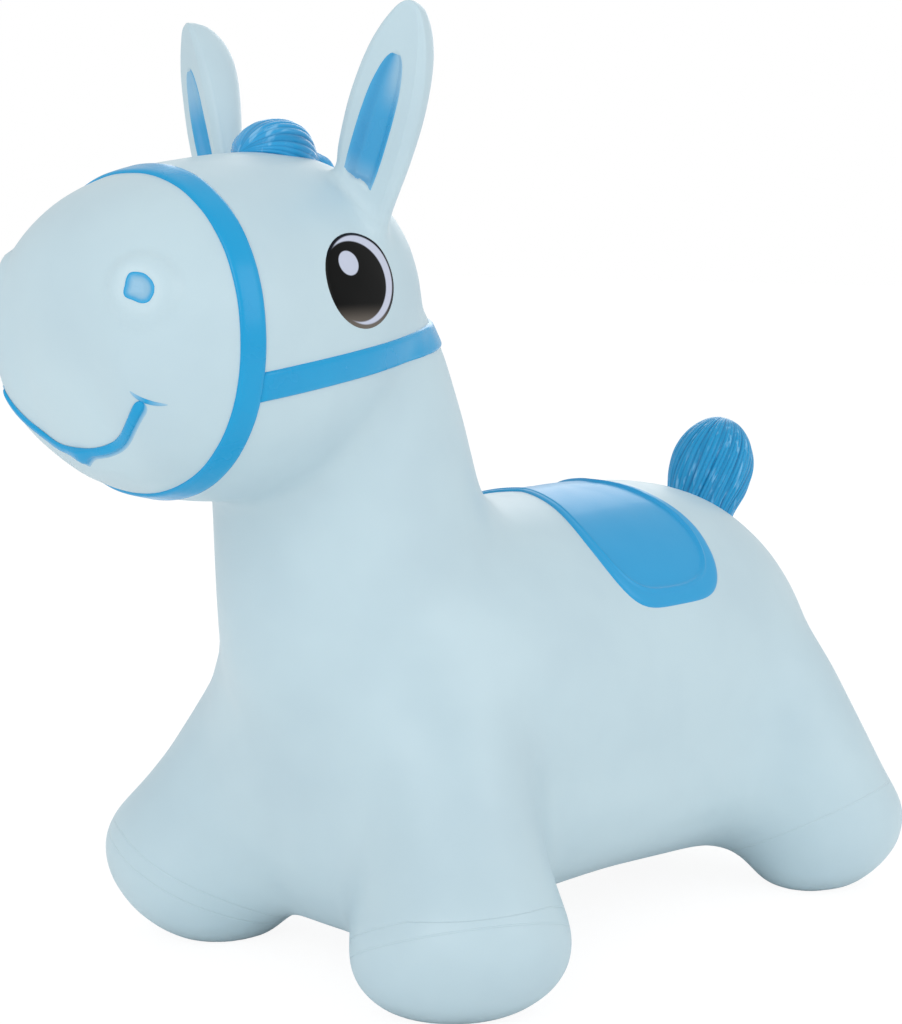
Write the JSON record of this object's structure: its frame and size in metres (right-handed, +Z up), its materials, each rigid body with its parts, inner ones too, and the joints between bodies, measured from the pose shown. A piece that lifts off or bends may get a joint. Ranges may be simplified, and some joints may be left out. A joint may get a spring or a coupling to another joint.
{
  "type": "bouncy ride on animal",
  "caption": "Inflatable vinyl bouncy animal for a toddler to sit on, with four splayed legs, upright ears, halter and saddle.",
  "frame": {"origin": "centre of the bounding box's bottom, between the hooves on the floor", "axes": "+Z up, -Y towards the head, +X to the animal's left"},
  "size_m": [0.3274, 0.5594, 0.5186],
  "materials": {
    "skin": "satin soft vinyl",
    "paint": "gloss blue paint on vinyl",
    "saddle_paint": "satin blue paint on vinyl",
    "eye_print": "gloss print",
    "bung": "plain vinyl"
  },
  "bodies": {
    "skin": {"body_skin": "skin", "saddle": "saddle_paint", "noseband": "paint", "headstall": "paint", "mouth": "paint", "eye_left": "eye_print", "eye_right": "eye_print", "nostril_left": "paint", "nostril_right": "paint", "forelock": "paint", "tail": "paint"},
    "left_ear": {"ear_left": "skin", "ear_lining_left": "paint"},
    "right_ear": {"ear_right": "skin", "ear_lining_right": "paint"},
    "bung": {"valve_bung": "bung"}
  },
  "joints": [
    {"name": "ear_left_flex", "type": "hinge", "parent": "skin", "child": "left_ear", "pos_m": [0.05305, -0.12273, 0.41374], "axis": [0.6725, 0.2185, -0.7071], "range_deg": [-15, 15], "stiffness_Nm_per_rad": 2},
    {"name": "ear_right_flex", "type": "hinge", "parent": "skin", "child": "right_ear", "pos_m": [-0.05312, -0.12273, 0.41374], "axis": [0.6725, -0.2185, 0.7071], "range_deg": [-15, 15], "stiffness_Nm_per_rad": 2},
    {"name": "bung_pull", "type": "slide", "parent": "skin", "child": "bung", "axis": [0, 0, -1], "range_m": [0, 0.02]}
  ]
}
